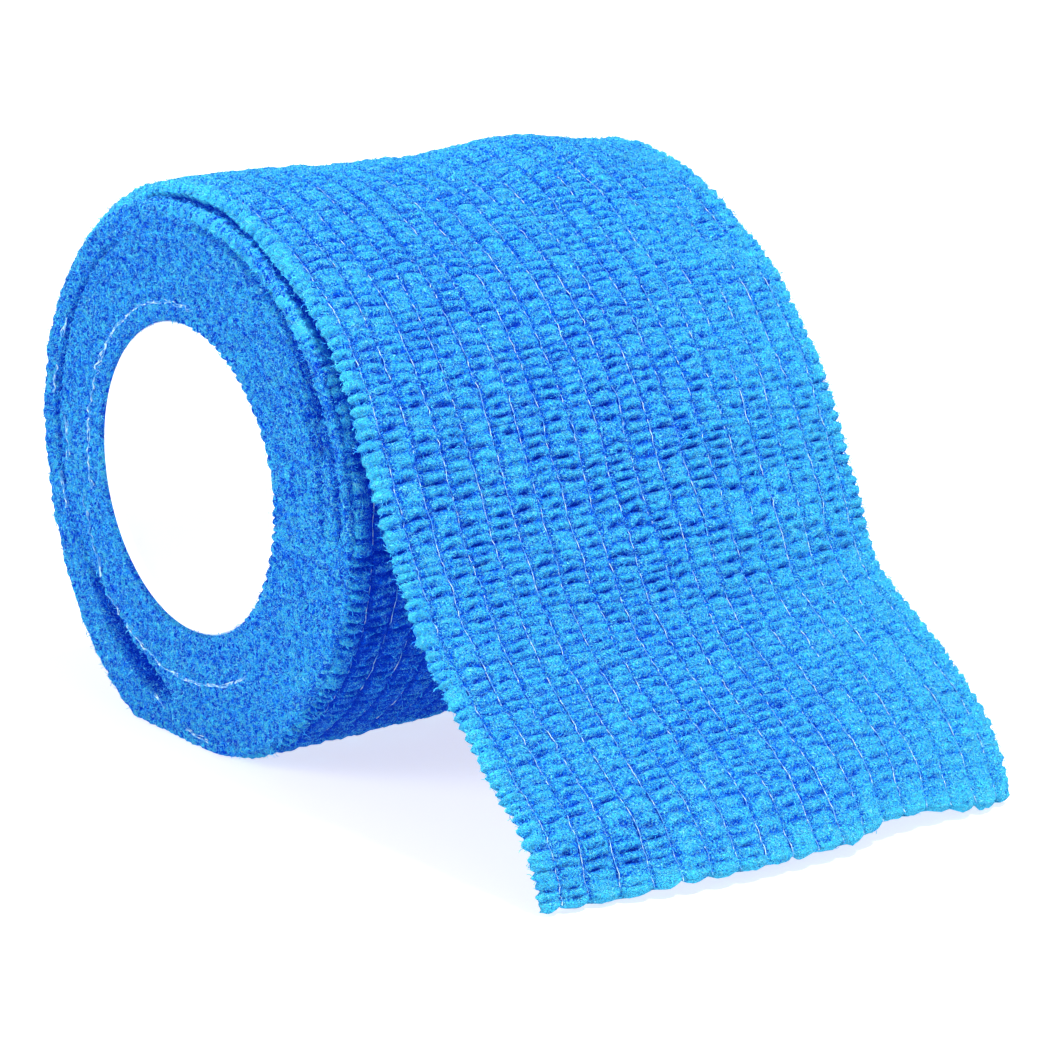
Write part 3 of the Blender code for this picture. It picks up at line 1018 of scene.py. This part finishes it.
def yarn_tree(material):
    tree, start, end = new_tree("yarn", {"Radius": ("NodeSocketFloat", 0.0001),
                                         "Sides": ("NodeSocketInt", 4)})
    curve = add(tree, "GeometryNodeMeshToCurve", Mesh=start.outputs["Geometry"])
    ring = add(tree, "GeometryNodeCurvePrimitiveCircle", Radius=start.outputs["Radius"],
               Resolution=start.outputs["Sides"])
    yarn = add(tree, "GeometryNodeCurveToMesh", Curve=curve.outputs["Curve"],
               Profile_Curve=ring.outputs["Curve"], Fill_Caps=True)
    smooth = add(tree, "GeometryNodeSetShadeSmooth",
                 Geometry=painted(tree, yarn.outputs["Mesh"], material))
    tree.links.new(smooth.outputs["Geometry"], end.inputs["Geometry"])
    return tree


def pale_yarn(name):
    yarn = Finish(name)
    dashes = yarn.noise(yarn.place(), 0.6, detail=1.0)
    fine = yarn.noise(yarn.place(), 0.25)
    colour = yarn.blend(dashes.band(0.44, 0.64), (0.05, 0.34, 0.80, 1.0), (0.52, 0.80, 0.92, 1.0))
    return yarn.surface(Base_Color=colour, Roughness=0.65, Normal=yarn.bump(fine, 0.03),
                        Sheen_Weight=0.3)


yarn = yarn_tree(pale_yarn("pale_elastic_yarn"))
YARN_RADIUS, YARN_SIDES = 0.045, 4
for threads in (end_threads, turn_threads):
    made_real(threads, yarn, {"Radius": YARN_RADIUS * MM, "Sides": YARN_SIDES})

# %% [markdown]
# On the wound face a few lengths of yarn have worked out between the turns. They
# lie in arcs that follow the winding, each as three strands side by side.

# %% Lay the stray yarns on the face
# Each row: start and end angle, radius at each end (mm).
STRAY_YARNS = [
    (86.0, 196.0, 15.55, 16.25),
    (236.0, 300.0, 19.25, 18.10),
    (226.0, 233.0, 19.4, 19.3),
    (254.0, 259.0, 22.3, 22.7),
    (268.0, 277.0, 23.2, 23.7),
    (198.0, 221.0, 18.1, 18.9),
    (152.0, 157.0, 22.4, 22.1),
    (165.0, 172.0, 22.2, 22.3),
    (176.0, 188.0, 20.0, 19.9),
    (191.0, 200.0, 21.5, 21.2),
]
STRAND_OFFSETS = (-0.07, 0.05, 0.13)
STRAY_RADIUS = 0.055


def stray_route(start, end, first, last):
    t = np.linspace(0.0, 1.0, max(int(abs(end - start) / 1.2), 8))
    angle = start + (end - start) * t
    radius = (first + (last - first) * t + 0.16 * wander(angle / 1.9, first * 9.0, seed=51)
              + 0.10 * wander(angle / 7.0, first, seed=53))
    relief, _ = face_relief(angle, radius)
    stand = relief + 0.03 + 0.16 * wander(angle / 2.0, first * 9.0, seed=52)
    turn = np.radians(angle)
    return np.stack([radius * np.cos(turn), near_y - stand,
                     axis_height + radius * np.sin(turn)], axis=-1)


strands = [stray_route(start, end, first + offset, last + offset)
           for start, end, first, last in STRAY_YARNS for offset in STRAND_OFFSETS]
stray_yarns = route_object("stray_yarns_near", strands)
made_real(stray_yarns, yarn, {"Radius": STRAY_RADIUS * MM, "Sides": YARN_SIDES})

# %% [markdown]
# ## Fuzz
#
# Short fibres come loose all over the felt, and most of all along its cut edges, where
# they soften the outline. Thousands of tiny hairs are a job for Geometry Nodes: points
# are scattered over the felt, as thick as the "fuzz" attribute says, and a bent
# hair of three sides is put on each, leaning its own way. The seed is fixed, so the
# fuzz comes out the same each time. Realize Instances makes them plain faces.

# %% Grow the fuzz
def fuzz_tree(material):
    tree, start, end = new_tree("fuzz", {
        "Hairs per Square Metre": ("NodeSocketFloat", 1e7), "Length": ("NodeSocketFloat", 0.001),
        "Radius": ("NodeSocketFloat", 0.00003), "Seed": ("NodeSocketInt", 1)})
    amount = add(tree, "GeometryNodeInputNamedAttribute", {"data_type": "FLOAT"}, Name="fuzz")
    density = tree.nodes.new("ShaderNodeMath")
    density.operation = "MULTIPLY"
    tree.links.new(amount.outputs["Attribute"], density.inputs[0])
    tree.links.new(start.outputs["Hairs per Square Metre"], density.inputs[1])
    points = add(tree, "GeometryNodeDistributePointsOnFaces", {"distribute_method": "RANDOM"},
                 Mesh=start.outputs["Geometry"], Density=density.outputs[0],
                 Seed=start.outputs["Seed"])
    bend = add(tree, "GeometryNodeCurveQuadraticBezier", Resolution=2, Start=(0.0, 0.0, -0.1),
               Middle=(0.05, 0.0, 0.55), End=(0.60, 0.10, 0.70))
    sized = add(tree, "GeometryNodeTransform", Geometry=bend.outputs["Curve"],
                Scale=start.outputs["Length"])
    ring = add(tree, "GeometryNodeCurvePrimitiveCircle", Radius=start.outputs["Radius"],
               Resolution=3)
    hair = add(tree, "GeometryNodeCurveToMesh", Curve=sized.outputs["Geometry"],
               Profile_Curve=ring.outputs["Curve"], Fill_Caps=True)
    lean = add(tree, "FunctionNodeRandomValue", {"data_type": "FLOAT_VECTOR"},
               Min=(-0.8, -0.8, 0.0), Max=(0.8, 0.8, 6.28), Seed=start.outputs["Seed"])
    turn = add(tree, "FunctionNodeEulerToRotation", Euler=lean.outputs[0])
    stand = add(tree, "FunctionNodeRotateRotation", {"rotation_space": "LOCAL"},
                Rotation=points.outputs["Rotation"], Rotate_By=turn.outputs["Rotation"])
    size = add(tree, "FunctionNodeRandomValue", {"data_type": "FLOAT_VECTOR"},
               Min=(0.5, 0.5, 0.5), Max=(1.2, 1.2, 1.2), Seed=start.outputs["Seed"])
    hairs = add(tree, "GeometryNodeInstanceOnPoints", Points=points.outputs["Points"],
                Instance=hair.outputs["Mesh"], Rotation=stand.outputs["Rotation"],
                Scale=size.outputs[0])
    tree.links.new(painted(tree, hairs.outputs["Instances"], material),
                   end.inputs["Geometry"])
    return tree


def loose_fibre(name):
    fibre = Finish(name)
    shade = fibre.noise(fibre.place(), 0.8, detail=1.0)
    tint = fibre.blend(shade.band(0.40, 0.62), (0.020, 0.300, 0.850, 1.0), CREST)
    # The hairs are paler in spots.
    pale_spot_noise = fibre.noise(fibre.place(), 0.3)
    colour = fibre.blend(pale_spot_noise.band(0.52, 0.66) * 0.6, tint, PALE)
    # The faint blue glow is painted light, as on the felt.
    return fibre.surface(Base_Color=colour, Roughness=0.7, Normal=fibre.bump(pale_spot_noise, 0.01),
                         Specular_IOR_Level=0.10, Emission_Color=PAINTED_BLUE_GLOW, Emission_Strength=1.0)


fuzz = fuzz_tree(loose_fibre("loose_felt_fibres"))
HAIR_RADIUS = 0.030
HAIRS = {  # the felt, hairs per square mm where "fuzz" is 1, length in mm before it varies
    "fuzz_loose_end": (loose_end, 9.5, 0.50),
    "fuzz_outer_turn": (outer_turn, 3.0, 0.50),
    "fuzz_wound_near": (near_face, 7.0, 0.48),
    "fuzz_wound_far": (far_face, 2.8, 0.48),
}
fuzz_pieces = []
for number, (name, (felt_piece, per_mm, length)) in enumerate(HAIRS.items()):
    tuft = in_scene(name, felt_piece.data.copy())
    fuzz_pieces.append(made_real(tuft, fuzz, {
        "Hairs per Square Metre": per_mm / MM ** 2, "Length": length * MM,
        "Radius": HAIR_RADIUS * MM, "Seed": number + 1}))
    spots = np.empty(len(tuft.data.vertices) * 3)
    tuft.data.vertices.foreach_get("co", spots)
    spots[2::3] = np.maximum(spots[2::3], TABLE_GAP * MM)      # none goes into the table
    tuft.data.vertices.foreach_set("co", spots)
    tuft.data.update()

# %% [markdown]
# ## Riding, finishing and counting
#
# Nothing moves on a roll, so every piece rides on the one root body, and the solids
# that the finished pieces stand in for are hidden. Laid flat, the loose end is longer
# than its path, because the puckers take up a quarter more.

pieces = {"felt": (loose_end, outer_turn, near_face, far_face, end_threads, turn_threads,
                   stray_yarns, *fuzz_pieces),
          "core_plastic": (core,)}
for finish, group in pieces.items():
    for piece in group:
        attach(piece, "root")
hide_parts("loose_end")
for piece in (outer_turn, near_face, far_face):
    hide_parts("wound_roll")
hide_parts("core_tube")
triangles = sum(len(f.vertices) - 2 for o in bpy.context.scene.objects
                if o.type == "MESH" and not o.hide_render for f in o.data.polygons)
print("triangles in all:", triangles)
